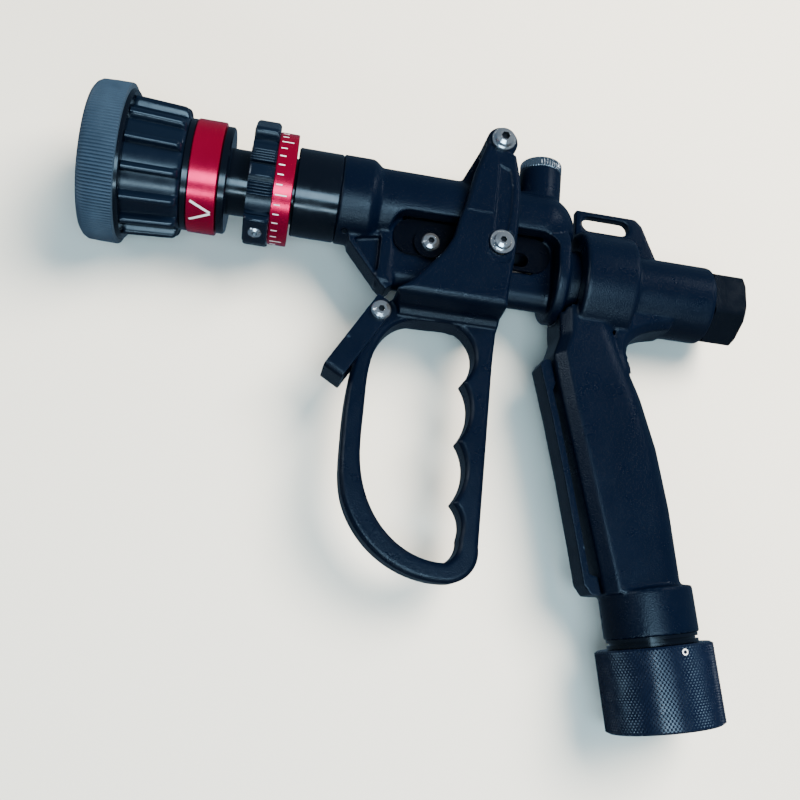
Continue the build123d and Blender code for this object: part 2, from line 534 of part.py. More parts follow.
def loop_outline():
    edge = [
        Polyline((-139.2, -50.0), (-140.2, -80.0), (-140.2, -172.0)),
        ThreePointArc((-140.2, -172.0), (-143.0, -184.5), (-154.0, -190.6)),
        Spline((-154.0, -190.6), (-174.5, -188.2), (-190.1, -180.2), (-201.3, -169.0),
               (-208.6, -155.0), (-211.6, -132.0), (-211.7, -105.0), (-209.6, -84.0),
               (-207.5, -66.0)),
        ThreePointArc((-207.5, -66.0), (-204.0, -56.5), (-194.0, -55.0)),
        Polyline((-194.0, -55.0), (-180.0, -52.0), (-139.2, -50.0)),
    ]
    return make_face(edge)


def finger_guard():
    """The loop round the fingers, chamfered on both faces."""
    guard = Pos(0, 0, -LOOP_Z) * extrude(loop_outline() - finger_opening(), 2 * LOOP_Z)
    faces = guard.faces().sort_by(Axis.Z)
    return chamfer(faces[0].edges() + faces[-1].edges(), GUARD_CHAMFER)


def trigger_lever():
    opening = Pos(0, 0, -CHEEK_Z[1]) * extrude(finger_opening(), 2 * CHEEK_Z[1])
    lever = finger_guard() + (fork() - opening)
    keep_out = block((-232.0, -104.0), (-46.4, 60.0), (-CHEEK_Z[0], CHEEK_Z[0]))
    for k in range(5):
        lever -= turn_about(keep_out, PIVOT, -TRIGGER_TRAVEL * k / 4)
    # room for the latch's round end
    for side in both_sides(pin_z(*LATCH_PIVOT, LOOP_Z + 0.01, 40.0, LATCH_HEAD_R + 0.6)):
        lever -= side
    # short slots that let the crosshead bolt run straight, with a shallow seat for its washers
    slot = Pos(BOLT[0] + 0.1, BOLT[1] - 0.9, -40.0) * Rot(0, 0, 90)
    lever -= slot * extrude(SlotCenterToCenter(2.6, 2 * 3.9), 80.0)
    seat = extrude(SlotCenterToCenter(5.0, 2 * 6.8), 6.0)
    for z in (CHEEK_Z[1] - 1.0, -CHEEK_Z[1] - 5.0):
        lever -= Pos(BOLT[0] + 0.1, BOLT[1] - 2.0, z) * Rot(0, 0, 90) * seat
    lever -= pin_z(*PIVOT, -40.0, 40.0, 4.5)
    lever -= pin_z(*LATCH_PIVOT, -40.0, 40.0, 2.0)
    return lever


def latch():
    """U-shaped hold-open stirrup: two arms beside the guard and a bar in front of it."""
    along = (-17.4, -30.4)
    length = (along[0] ** 2 + along[1] ** 2) ** 0.5
    ux, uy = along[0] / length, along[1] / length
    px, py = LATCH_PIVOT

    def at(u, v):
        return (px + u * ux - v * uy, py + u * uy + v * ux)
    arm = plate([at(-6.6, -6.0), at(-6.6, 0.5), at(-2.0, 4.8), at(LATCH_REACH, 4.8),
                 at(LATCH_REACH, -6.0)], *LATCH_Z)
    stirrup = both_sides(arm)
    bar = plate([at(LATCH_REACH - 4.0, -6.0), at(LATCH_REACH - 4.0, 4.8), at(LATCH_REACH, 4.8),
                 at(LATCH_REACH, -6.0)], -LATCH_Z[1], LATCH_Z[1])
    end = Vector(*at(LATCH_REACH, -0.6), 0)
    whole = stirrup[0] + stirrup[1] + bar
    bends = [e for e in whole.edges() if (Vector(e.center().X, e.center().Y, 0) - end).length < 0.2
             and abs(e.center().Z) > LATCH_Z[1] - 0.1]
    whole = fillet(bends, 3.4)
    return whole - pin_z(px, py, -40.0, 40.0, 2.6)


def build_trigger():
    keep("trigger_lever", trigger_lever())
    bush = pin_z(*PIVOT, *CHEEK_Z, 4.5) - pin_z(*PIVOT, -40.0, 40.0, 3.0 + RUN)
    keep("pivot_bushes", *both_sides(bush))
    z_out = CHEEK_Z[1] + GAP
    washer = pin_z(*PIVOT, z_out, z_out + 1.2, 6.2) - pin_z(*PIVOT, -40.0, 40.0, 3.0)
    keep("pivot_washers", *both_sides(washer))
    keep("pivot_bolt", pin_z(*PIVOT, -z_out - 6.0, z_out + 1.2, 3.0)
         + Pos(*PIVOT, z_out + 1.2) * button_screw(3.0, 5.25, 3.3, 3.0, 4.0))
    nut = Pos(*PIVOT, -z_out - 6.2) * extrude(RegularPolygon(5.0, 6, major_radius=False), 5.0)
    keep("pivot_nut", nut - pin_z(*PIVOT, -40.0, 40.0, 3.0))
    keep("hold_open_latch", latch())
    z_latch = LATCH_Z[1] + 0.3
    screw = Pos(*LATCH_PIVOT, z_latch) * button_screw(2.5, 5.0, 2.8, 4.0, 3.0)
    pin = screw + pin_z(*LATCH_PIVOT, 0.1, z_latch, 2.0) + pin_z(*LATCH_PIVOT, LOOP_Z, z_latch, 2.5)
    keep("latch_screws", *both_sides(pin))


# ---- inlet --------------------------------------------------------------------------------------
def build_inlet():
    s0, s1 = COUPLING_S
    face = s1 - THREAD_DEPTH
    nipple = turned_on_grip([(NIPPLE_S - 16.0, 12.0), (NIPPLE_S - 16.0, 17.0), (NIPPLE_S, 17.0),
                             (NIPPLE_S, 22.0), (209.6, 22.0), (209.6, 20.6), (211.0, 20.6),
                             (211.0, 22.0), (s0 - 0.4, 22.0), (s0 - 0.4, 18.6),
                             (230.0, 18.6), (230.0, 20.2), (234.0, 20.2), (234.0, 12.0)])
    balls = []
    coupling = turned_on_grip([(s0, 18.6 + RUN), (229.6, 18.6 + RUN), (229.6, 20.6),
                               (234.2, 20.6), (234.2, THREAD_R + 1.2), (face, THREAD_R + 1.2),
                               (face, THREAD_R), (s1, THREAD_R), (s1, COUPLING_R - 1.2),
                               (s1 - 1.2, COUPLING_R), (s0 + 1.2, COUPLING_R),
                               (s0, COUPLING_R - 1.2)])
    race_s, ball_r, count = 221.0, 1.6, 12
    race_r = 18.6 + 0.35
    coupling -= turned_on_grip([(race_s - 2.2, 18.0), (race_s + 2.2, 18.0),
                                (race_s + 2.2, race_r + 2.2), (race_s - 2.2, race_r + 2.2)])
    for k in range(count):
        turn = 2 * pi * k / count
        across = on_grip(race_s, race_r * cos(turn))
        balls.append(Pos(*across, race_r * sin(turn)) * Sphere(ball_r))
    nipple -= turned_on_grip([(race_s - ball_r, race_r - ball_r - 0.02),
                              (race_s + ball_r, race_r - ball_r - 0.02),
                              (race_s + ball_r, 19.5), (race_s - ball_r, 19.5)])
    keep("inlet_nipple", nipple)
    keep("swivel_balls", *balls)
    keep("swivel_coupling", coupling)
    keep("inlet_gasket", turned_on_grip([(234.6, 16.0), (face - 0.2, 16.0),
                                         (face - 0.2, THREAD_R + 1.1), (234.6, THREAD_R + 1.1)]))


def build_all():
    build_barrel()
    build_nozzle()
    build_pattern_sleeve()
    build_flow_ring()
    build_valve_body()
    build_valve()
    build_trigger()
    build_inlet()


build_all()
os.makedirs("parts", exist_ok=True)
for name, shapes in PARTS.items():
    solids = [solid for shape in shapes for solid in shape.solids()]
    whole = solids[0] if len(solids) == 1 else Compound(children=solids)
    export_step(whole, f"parts/{name}.step")
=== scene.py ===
"""Looks of the pistol-grip fire hose nozzle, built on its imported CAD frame. Metres, +Z up."""
import json
from math import cos, hypot, pi, radians, sin

import bpy
import numpy as np
from mathutils import Matrix, Vector


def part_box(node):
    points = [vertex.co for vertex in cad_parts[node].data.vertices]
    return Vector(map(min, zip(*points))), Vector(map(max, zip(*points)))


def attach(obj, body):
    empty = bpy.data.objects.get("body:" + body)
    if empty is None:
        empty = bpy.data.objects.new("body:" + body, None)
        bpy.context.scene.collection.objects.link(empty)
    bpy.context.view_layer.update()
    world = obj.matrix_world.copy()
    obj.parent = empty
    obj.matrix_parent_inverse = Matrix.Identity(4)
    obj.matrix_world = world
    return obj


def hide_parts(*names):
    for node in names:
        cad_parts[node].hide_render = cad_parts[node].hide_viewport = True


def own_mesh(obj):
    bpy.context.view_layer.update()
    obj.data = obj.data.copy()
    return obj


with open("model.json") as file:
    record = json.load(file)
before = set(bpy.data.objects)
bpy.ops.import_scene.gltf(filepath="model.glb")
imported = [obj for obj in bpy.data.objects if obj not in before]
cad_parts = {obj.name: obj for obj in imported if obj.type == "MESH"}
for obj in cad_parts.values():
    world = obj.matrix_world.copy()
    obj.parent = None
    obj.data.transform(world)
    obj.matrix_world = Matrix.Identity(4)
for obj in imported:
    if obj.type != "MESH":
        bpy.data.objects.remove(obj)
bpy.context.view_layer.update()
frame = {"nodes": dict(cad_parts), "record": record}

MM = 0.001


# ---- places read from the frame -----------------------------------------------------------------
def centre(node):
    """Middle of a node's box."""
    low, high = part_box(node)
    return (low + high) / 2


def half_height(node):
    """Radius of a turned node that lies flat."""
    low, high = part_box(node)
    return (high.z - low.z) / 2


RECORD = frame["record"]
BARREL_Y = centre("front_tube").y
GRIP_DIR = Vector(next(m["axis"] for m in RECORD["mounts"] if m["name"] == "inlet"))
GRIP_SIDE = Vector((-GRIP_DIR.y, GRIP_DIR.x, 0.0))
COUPLING_R = half_height("swivel_coupling")
NECK_BORE = 16.9 * MM       # of every ring that turns on the neck


# ---- materials ----------------------------------------------------------------------------------
class Shader:
    """A Principled material with helpers for noise in its colour, roughness and bump."""

    def __init__(self, name, color, roughness, metallic=0.0):
        self.mat = bpy.data.materials.new(name)
        self.mat.use_nodes = True
        self.nodes = self.mat.node_tree.nodes
        self.links = self.mat.node_tree.links
        self.bsdf = self.nodes["Principled BSDF"]
        self.bsdf.inputs["Base Color"].default_value = (*color, 1)
        self.bsdf.inputs["Roughness"].default_value = roughness
        self.bsdf.inputs["Metallic"].default_value = metallic
        self.coords = self.nodes.new("ShaderNodeTexCoord")
        self.normal = None

    def set(self, **values):
        """Set inputs by name, with underscores for the spaces."""
        for key, value in values.items():
            self.bsdf.inputs[key.replace("_", " ")].default_value = value
        return self

    def noise(self, size, detail=3.0, stretch=(1, 1, 1)):
        """Noise whose features are about size across, in metres."""
        mapping = self.nodes.new("ShaderNodeMapping")
        mapping.inputs["Scale"].default_value = stretch
        self.links.new(self.coords.outputs["Object"], mapping.inputs["Vector"])
        tex = self.nodes.new("ShaderNodeTexNoise")
        tex.inputs["Scale"].default_value = 1 / size
        tex.inputs["Detail"].default_value = detail
        self.links.new(mapping.outputs["Vector"], tex.inputs["Vector"])
        return tex.outputs["Fac"]

    def spread(self, value, low, high, start=0.3, end=0.7):
        """Map a 0..1 value to a range of numbers."""
        node = self.nodes.new("ShaderNodeMapRange")
        limits = {"From Min": start, "From Max": end, "To Min": low, "To Max": high}
        for key, number in limits.items():
            node.inputs[key].default_value = number
        self.links.new(value, node.inputs["Value"])
        return node.outputs["Result"]

    def mix(self, value, first, second):
        """Blend two colours by a 0..1 value; first may be a socket."""
        node = self.nodes.new("ShaderNodeMix")
        node.data_type = "RGBA"
        self.links.new(value, node.inputs["Factor"])
        if isinstance(first, tuple):
            node.inputs["A"].default_value = (*first, 1)
        else:
            self.links.new(first, node.inputs["A"])
        node.inputs["B"].default_value = (*second, 1)
        return node.outputs["Result"]

    def bump(self, value, strength, distance):
        """Add a bump layer on top of the ones so far; distance is in metres."""
        node = self.nodes.new("ShaderNodeBump")
        node.inputs["Strength"].default_value = strength
        node.inputs["Distance"].default_value = distance
        self.links.new(value, node.inputs["Height"])
        if self.normal:
            self.links.new(self.normal, node.inputs["Normal"])
        self.normal = node.outputs["Normal"]
        self.links.new(self.normal, self.bsdf.inputs["Normal"])
        return self

    def feed(self, name, socket):
        """Drive one of the shader's inputs from a node's output."""
        self.links.new(socket, self.bsdf.inputs[name])
        return self

    def edges(self, low, high):
        """0..1 on convex edges, from the mesh's own curvature."""
        node = self.nodes.new("ShaderNodeNewGeometry")
        return self.spread(node.outputs["Pointiness"], 0.0, 1.0, low, high)


TOOL_MARKS = (1, 0.04, 0.04)        # draws the noise out round a turned piece


def cast_black():
    """Fine wrinkled black powder coat on a casting; its convex edges are painted lighter, a
    painted highlight along the rounded edges with a little edge wear.
    """
    s = Shader("cast_black", (0.003, 0.006, 0.012), 0.32).set(Specular_IOR_Level=0.27)
    tint = s.mix(s.noise(0.03), (0.0004, 0.0015, 0.0054), (0.0007, 0.0023, 0.0075))
    # Painted highlight: convex edges, found from the mesh's curvature, get a lighter blue-black,
    # with a little edge wear.
    edge_wear_and_highlight = s.mix(s.edges(0.53, 0.62), tint, (0.014, 0.025, 0.040))
    s.feed("Base Color", edge_wear_and_highlight)
    s.feed("Roughness", s.spread(s.noise(0.012, 4.0), 0.26, 0.36))
    return s.bump(s.noise(0.0007, 2.0), 0.8, 0.00020).bump(s.noise(0.02, 1.0), 0.2, 0.0004)


def gloss_black():
    """Gloss black anodised turning with very fine tool marks."""
    s = Shader("anodised_black", (0.0008, 0.0014, 0.0032), 0.16).set(Specular_IOR_Level=0.5)
    s.feed("Roughness", s.spread(s.noise(0.006, 3.0), 0.13, 0.24))
    return s.bump(s.noise(0.0006, 2.0, TOOL_MARKS), 0.10, 0.00005)


def painted_shade_black():
    """Painted shade: a darker, barely reflecting copy of the gloss black, for the flat covers and
    bosses deep inside the window.
    """
    s = Shader("painted_shade_black", (0.0006, 0.0010, 0.0024), 0.30).set(Specular_IOR_Level=0.12)
    s.feed("Roughness", s.spread(s.noise(0.006, 3.0), 0.26, 0.38))
    return s.bump(s.noise(0.0006, 2.0), 0.2, 0.00005)


def red_anodised():
    """Satin red anodised ring."""
    s = Shader("anodised_red", (0.60, 0.004, 0.045), 0.24, 0.9)
    tint = s.mix(s.noise(0.02, 1.0), (0.70, 0.005, 0.055), (0.78, 0.009, 0.072))
    s.feed("Base Color", tint)
    s.feed("Roughness", s.spread(s.noise(0.004, 2.0), 0.22, 0.27))
    return s.bump(s.noise(0.0005, 1.0, TOOL_MARKS), 0.05, 0.00002)


def rubber():
    """Matt blue-black rubber, a little dusty."""
    s = Shader("bumper_rubber", (0.020, 0.021, 0.024), 0.62)
    s.feed("Base Color", s.mix(s.noise(0.008, 4.0), (0.012, 0.023, 0.038), (0.025, 0.044, 0.068)))
    s.feed("Roughness", s.spread(s.noise(0.005), 0.45, 0.58))
    return s.bump(s.noise(0.0007, 3.0), 0.3, 0.0001)


def moulded_black():
    """Glossy black of the sleeve and the flow ring."""
    s = Shader("moulded_black", (0.0016, 0.0040, 0.0095), 0.22).set(Specular_IOR_Level=0.42)
    s.feed("Roughness", s.spread(s.noise(0.006, 4.0), 0.18, 0.26))
    return s.bump(s.noise(0.0009, 3.0), 0.2, 0.00006)


def stainless():
    """Polished screws and internal steel."""
    s = Shader("stainless", (0.66, 0.67, 0.68), 0.18, 0.95)
    s.feed("Base Color", s.mix(s.noise(0.003), (0.58, 0.59, 0.60), (0.74, 0.75, 0.76)))
    s.feed("Roughness", s.spread(s.noise(0.002, 4.0), 0.12, 0.26))
    return s.bump(s.noise(0.0004, 3.0), 0.15, 0.00005)


def bright_aluminium():
    """Bare machined aluminium."""
    s = Shader("bright_aluminium", (0.52, 0.54, 0.57), 0.22, 1.0)
    s.feed("Roughness", s.spread(s.noise(0.002, 4.0), 0.16, 0.30))
    return s.bump(s.noise(0.0005, 3.0), 0.15, 0.00005)


def knurled_black():
    """Black anodised knurl with a slight mottle."""
    s = Shader("knurled_black", (0.002, 0.004, 0.010), 0.24).set(Specular_IOR_Level=0.48)
    s.feed("Base Color", s.mix(s.noise(0.004), (0.0012, 0.003, 0.010), (0.003, 0.006, 0.016)))
    s.feed("Roughness", s.spread(s.noise(0.005), 0.18, 0.32))
    return s.bump(s.noise(0.0005, 2.0), 0.1, 0.00005)


def bronze():
    """Bushes, poppet and seat."""
    s = Shader("bronze", (0.55, 0.38, 0.18), 0.33, 1.0)
    s.feed("Base Color", s.mix(s.noise(0.004), (0.46, 0.31, 0.14), (0.62, 0.45, 0.22)))
    return s.bump(s.noise(0.0006, 2.0), 0.12, 0.00005)


def plain(name, color, roughness):
    """One colour with a slight mottle."""
    s = Shader(name, color, roughness)
    dark = tuple(0.8 * c for c in color)
    s.feed("Base Color", s.mix(s.noise(0.003), dark, color))
    return s.bump(s.noise(0.0008, 2.0), 0.1, 0.00005)


LOOKS = {
    "cast_black": cast_black().mat,
    "anodised_black": gloss_black().mat,
    "anodised_red": red_anodised().mat,
    "bumper_rubber": rubber().mat,
    "moulded_black": moulded_black().mat,
    "stainless": stainless().mat,
    "bright_aluminium": bright_aluminium().mat,
    "knurled_black": knurled_black().mat,
    "bronze": bronze().mat,
    "seal_rubber": plain("seal_rubber", (0.02, 0.02, 0.02), 0.5).mat,
    "white_ptfe": plain("white_ptfe", (0.82, 0.82, 0.79), 0.45).mat,
}
WHITE_MARK = plain("white_mark", (0.82, 0.82, 0.80), 0.5).mat
# Painted shade for the covers and bosses inside the window.
WINDOW_PAINTED_SHADE = painted_shade_black().mat
# Painted shade for the hexagon sockets of the screws.
SOCKET_PAINTED_SHADE = plain("socket_painted_shade", (0.004, 0.005, 0.008), 0.6).mat
SLOT_OF = {s["node"]: s["material_slot"] for s in RECORD["subparts"]}


def dress(obj, slot):
    """Give an object one material."""
    obj.data.materials.clear()
    obj.data.materials.append(LOOKS[slot])


def shade_by_angle(obj, angle=32.0):
    """Smooth shading that keeps real corners sharp."""
    mesh = obj.data
    mesh.polygons.foreach_set("use_smooth", [True] * len(mesh.polygons))
    mesh.set_sharp_from_angle(angle=radians(angle))


# ---- mesh helpers -------------------------------------------------------------------------------
def new_piece(name, verts, faces, body, slot, *nodes):
    """A mesh piece that rides on a body and stands for CAD nodes."""
    mesh = bpy.data.meshes.new(name)
    mesh.from_pydata([tuple(v) for v in verts], [], [tuple(int(i) for i in f) for f in faces])
    mesh.update()
    obj = bpy.data.objects.new(name, mesh)
    bpy.context.scene.collection.objects.link(obj)
    dress(obj, slot)
    finish_piece(obj, body, slot, *nodes)
    return obj


def finish_piece(obj, body, slot, *nodes):
    """Attach the piece to its body and hide the CAD nodes that it stands for; slot is not used."""
    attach(obj, body)
    if nodes:
        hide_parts(*nodes)


def apply_modifiers(obj):
    """Bake an object's modifiers into its mesh."""
    graph = bpy.context.evaluated_depsgraph_get()
    mesh = bpy.data.meshes.new_from_object(obj.evaluated_get(graph))
    obj.modifiers.clear()
    obj.data = mesh


def soften(node, name, body, voxel, rounds):
    """A cast or moulded version of a CAD node: the same shape with every edge rounded."""
    weld_gap, smooth_share, kept_faces = 0.01 * MM, 0.5, 0.35
    obj = bpy.data.objects.new(name, frame["nodes"][node].data.copy())
    bpy.context.scene.collection.objects.link(obj)
    weld = obj.modifiers.new("weld", "WELD")
    weld.merge_threshold = weld_gap
    remesh = obj.modifiers.new("remesh", "REMESH")
    remesh.mode = "VOXEL"
    remesh.voxel_size = voxel
    smooth = obj.modifiers.new("smooth", "SMOOTH")
    smooth.factor = smooth_share
    smooth.iterations = rounds
    thin = obj.modifiers.new("thin", "DECIMATE")
    thin.ratio = kept_faces
    apply_modifiers(obj)
    obj.data.polygons.foreach_set("use_smooth", [True] * len(obj.data.polygons))
    dress(obj, SLOT_OF[node])
    finish_piece(obj, body, SLOT_OF[node], node)
    return obj


def lathe_surface(stations, radius_at, turns, place):
    """Closed surface of revolution; radius_at(station index, angle) may vary round the turn."""
    count = len(stations)
    angles = [2 * pi * k / turns for k in range(turns)]
    verts = [place(s, radius_at(i, a), a) for i, s in enumerate(stations) for a in angles]
    faces = []
    for i in range(count):
        j = (i + 1) % count
        for k in range(turns):
            n = (k + 1) % turns
            faces.append((i * turns + k, i * turns + n, j * turns + n, j * turns + k))
    return verts, faces


def on_barrel(x, r, a):
    """Point round the barrel axis; the angle runs from +Y towards +Z."""
    return (x, BARREL_Y + r * cos(a), r * sin(a))


def on_grip(s, r, a):
    """Point round the grip axis, s behind the inlet mouth."""
    return tuple(-s * GRIP_DIR + r * cos(a) * GRIP_SIDE + Vector((0, 0, r * sin(a))))


# ---- floor, light and camera --------------------------------------------------------------------
FLOOR_HALF = 3.0
FLOOR_GAP = 0.2 * MM


def floor_height(x, y):
    """The nozzle tilts a little: it lies on its bumper, its coupling and the pivot nut."""
    bumper, nut, inlet = centre("rubber_bumper"), centre("pivot_nut"), centre("swivel_coupling")
    feet = [(bumper.x, bumper.y, -half_height("rubber_bumper")),
            (nut.x, nut.y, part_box("pivot_nut")[0].z), (inlet.x, inlet.y, -COUPLING_R)]
    a = np.array([(px, py, 1.0) for px, py, _ in feet])
    slope = np.linalg.solve(a, np.array([h for *_, h in feet]))
    return float(slope @ np.array([x, y, 1.0]))


def make_floor():
    """Plain pale floor; glossy rays miss it, so that the black undersides stay deep."""
    turns = ((-1, -1), (1, -1), (1, 1), (-1, 1))
    corners = [(FLOOR_HALF * x, FLOOR_HALF * y) for x, y in turns]
    verts = [(x, y, floor_height(x, y) - FLOOR_GAP) for x, y in corners]
    mesh = bpy.data.meshes.new("floor")
    mesh.from_pydata(verts, [], [(0, 1, 2, 3)])
    floor = bpy.data.objects.new("floor", mesh)
    bpy.context.scene.collection.objects.link(floor)
    s = Shader("floor", (0.91, 0.83, 0.69), 0.6).set(Specular_IOR_Level=0.2)
    s.feed("Base Color", s.mix(s.noise(0.25), (0.90, 0.82, 0.68), (0.93, 0.85, 0.71)))
    floor.data.materials.append(s.mat)
    floor.visible_glossy = False


LIGHT_AIM = Vector((-0.16, 0.13, 0.0))      # middle of the nozzle
SKY_COLOR, SKY_STRENGTH = (0.44, 0.69, 1.0, 1), 0.20


def area_light(name, place, size, power, color):
    """Rectangular lamp that faces the nozzle."""
    light = bpy.data.lights.new(name, "AREA")
    light.shape = "RECTANGLE"
    light.size, light.size_y = size
    light.energy = power
    light.color = color
    obj = bpy.data.objects.new(name, light)
    obj.location = place
    obj.rotation_euler = (LIGHT_AIM - Vector(place)).to_track_quat("-Z", "Y").to_euler()
    bpy.context.scene.collection.objects.link(obj)
    return obj


def make_lights():
    """A warm key, which leaves no highlight of its own, and cool windows that draw the streaks."""
    key = area_light("key", (0.42, 0.62, 1.10), (0.8, 0.8), 70.0, (1.0, 0.96, 0.90))
    key.visible_glossy = False
    area_light("glint", (0.75, 0.95, 0.70), (0.20, 0.20), 1.6, (0.85, 0.93, 1.0))
    area_light("window_high", (-0.16, -0.24, 0.93), (0.60, 0.34), 8.5, (0.48, 0.76, 1.0))
    area_light("window_low", (-0.20, -0.85, 0.66), (1.1, 0.12), 7.0, (0.52, 0.79, 1.0))
    area_light("far_window", (-1.1, 0.35, 0.50), (0.2, 0.5), 3.0, (0.70, 0.86, 1.0))
    world = bpy.data.worlds.new("studio")
    world.use_nodes = True
    background = world.node_tree.nodes["Background"]
    background.inputs["Color"].default_value = SKY_COLOR
    background.inputs["Strength"].default_value = SKY_STRENGTH
    bpy.context.scene.world = world


CAMERA_PLACE = Vector((-0.20677, 0.01672, 0.45700))
CAMERA_FORWARD = Vector((0.1324, 0.2648, -0.9552))
CAMERA_UP = Vector((-0.1353, 0.9595, 0.2472))
CAMERA_LENS, CAMERA_SENSOR = 43.21, 36.0


def make_camera():
    """View from above the nozzle, leaning towards its top and rear."""
    data = bpy.data.cameras.new("camera")
    data.lens = CAMERA_LENS
    data.sensor_width = CAMERA_SENSOR
    camera = bpy.data.objects.new("camera", data)
    back = -CAMERA_FORWARD.normalized()
    right = CAMERA_UP.cross(back).normalized()
    up = back.cross(right)
    turn = Matrix((right, up, back)).transposed().to_4x4()
    camera.matrix_world = Matrix.Translation(CAMERA_PLACE) @ turn
    bpy.context.scene.collection.objects.link(camera)
    bpy.context.scene.camera = camera


# ---- turned and ribbed pieces -------------------------------------------------------------------
def scallop(a, count):
    """0 to 1 and back, count times round the turn."""
    return 0.5 - 0.5 * cos(a * count)


def rounding(run, length):
    """Height, 0..1, of a quarter round at a run past its foot; full height beyond its length."""
    past = max(0.0, 1 - run / length)
    return max(0.0, 1 - past ** 2) ** 0.5


def rim(start, way, outer, points):
    """Profile of a rim from (run, drop) pairs in millimetres, the drop below the outer radius."""
    return [(start + way * run * MM, outer - drop * MM) for run, drop in points]


def make_bumper():
    """Rubber bumper with fine ribs that run along it."""
    low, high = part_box("rubber_bumper")
    outer = half_height("rubber_bumper")
    mouth, throat, depth = 31.0 * MM, 28.5 * MM, 10.0 * MM
    ribs, per_rib, groove = 150, 8, 0.75 * MM
    profile = [(low.x, mouth)]
    profile += rim(low.x, 1, outer, ((0.0, 3.0), (1.2, 1.4), (3.0, 0.4), (9.0, 0.1)))
    profile += rim(high.x, -1, outer, ((0.9, 0.0), (0.3, 0.25), (0.0, 0.9)))
    profile += [(high.x, throat), (low.x + depth, mouth)]
    ribbed = range(2, 6)

    def radius(i, a):
        r = profile[i][1]
        return r - groove * scallop(a, ribs) if i in ribbed else r
    verts, faces = lathe_surface([x for x, _ in profile], radius, ribs * per_rib, on_barrel)
    obj = new_piece("ribbed_bumper", verts, faces, "pattern_sleeve_group", "bumper_rubber",
                    "rubber_bumper")
    shade_by_angle(obj, angle=50.0)


def sleeve_stations(front, rear, back, mouth_edge):
    """The sleeve's section as (x, radius), the radius left open along its ribbed wall."""
    collar, collar_r, rear_r = 3.4 * MM, 23.4 * MM, 26.5 * MM
    mouth_depth, mouth_r, throat_r, rear_wall = 10.0 * MM, 27.0 * MM, 24.0 * MM, 7.0 * MM
    curved, land, steps = (0.05, 0.3, 0.6, 0.9, 1.3, 1.8, 2.4, 3.2), 2.4 * MM, 14
    start, end = rear - curved[-1] * MM, front + land
    wall = [rear - run * MM for run in curved]
    wall += [start + (end - start) * k / steps for k in range(1, steps + 1)]
    behind = [(back, NECK_BORE), (back, collar_r), (rear + collar, collar_r),
              (rear + collar, rear_r), (rear, rear_r)]
    ahead = [(front, mouth_edge), (front, mouth_r), (front + mouth_depth, throat_r),
             (rear - rear_wall, throat_r), (rear - rear_wall, NECK_BORE)]
    return behind + [(x, None) for x in wall] + ahead


def rib_back(off):
    """Height, 0..1, of a sleeve rib's round back, off its middle line."""
    half, fullness, roundness = 2.5 * MM, 2.6, 0.62
    return (1 - abs(off / half) ** fullness) ** roundness if abs(off) < half else 0.0


def make_sleeve():
    """Pattern sleeve with round-backed ribs whose rear ends are domed."""
    low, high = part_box("pattern_sleeve")
    front, rear = low.x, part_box("front_lock_ring")[0].x
    root = (31.0 * MM, 29.0 * MM)                           # at the front, at the rear
    crest = (half_height("pattern_sleeve"), 33.2 * MM)
    ribs, per_rib, first = 14, 44, radians(15.1)
    edge, edge_drop, rib_gap, dome = 2.4 * MM, 2.0 * MM, 0.5 * MM, 3.0 * MM
    stations = sleeve_stations(front, rear, high.x, root[0])

    def radius(i, a):
        x, r = stations[i]
        if r is not None:
            return r
        share = (rear - x) / (rear - front)
        base = root[1] + (root[0] - root[1]) * share - edge_drop * (1 - rounding(rear - x, edge))
        top = crest[1] + (crest[0] - crest[1]) * share
        step = 2 * pi / ribs
        off = ((a - first + step / 2) % step - step / 2) * (base + top) / 2
        return base + (top - base) * rounding(rear - rib_gap - x, dome) * rib_back(off)
    verts, faces = lathe_surface([x for x, _ in stations], radius, ribs * per_rib, on_barrel)
    obj = new_piece("ribbed_sleeve", verts, faces, "pattern_sleeve_group", "moulded_black",
                    "pattern_sleeve")
    shade_by_angle(obj, angle=48.0)


FLOW_ROOT = 27.2 * MM
LUG_ANGLES, LUG_PITCH = (42.0, 162.0, 282.0), 120.0
LUG_REACH, BLOCK_REACH = 20.0, 6.2      # degrees to either side of their middles
PAD_FROM, PAD_TO = 9.6, 23.6            # degrees from the middle of a block
BLOCK_BEVEL, PAD_BEVEL = 0.6, 0.4       # shares of the lugs' bevel


def lug_radius(off):
    """Square lug with rounded corners, off its middle in radians."""
    flat_r, half, corner, foot, foot_drop = 32.0 * MM, 9.2 * MM, 2.4 * MM, 0.8 * MM, 1.6 * MM
    across = abs(flat_r * sin(off))
    if across > half + foot:
        return FLOW_ROOT
    past = max(0.0, across - (half - corner))
    drop = corner - max(0.0, corner ** 2 - past ** 2) ** 0.5
    return flat_r / cos(off) - drop - (0.0 if across < half else foot_drop)


def block_radius(side):
    """Plain block, its shoulders falling away."""
    block_r, fall, shoulder = 30.2 * MM, 1.2 * MM, 0.75
    return block_r - fall * max(0.0, side / BLOCK_REACH - shoulder)


def pad_radius(side):
    """Pad with five ribs across the turn."""
    pad_r, rib, ribs, fullness = 29.4 * MM, 0.8 * MM, 5, 0.7
    share = (side - PAD_FROM) / (PAD_TO - PAD_FROM)
    return pad_r + rib * abs(sin(pi * share * ribs)) ** fullness


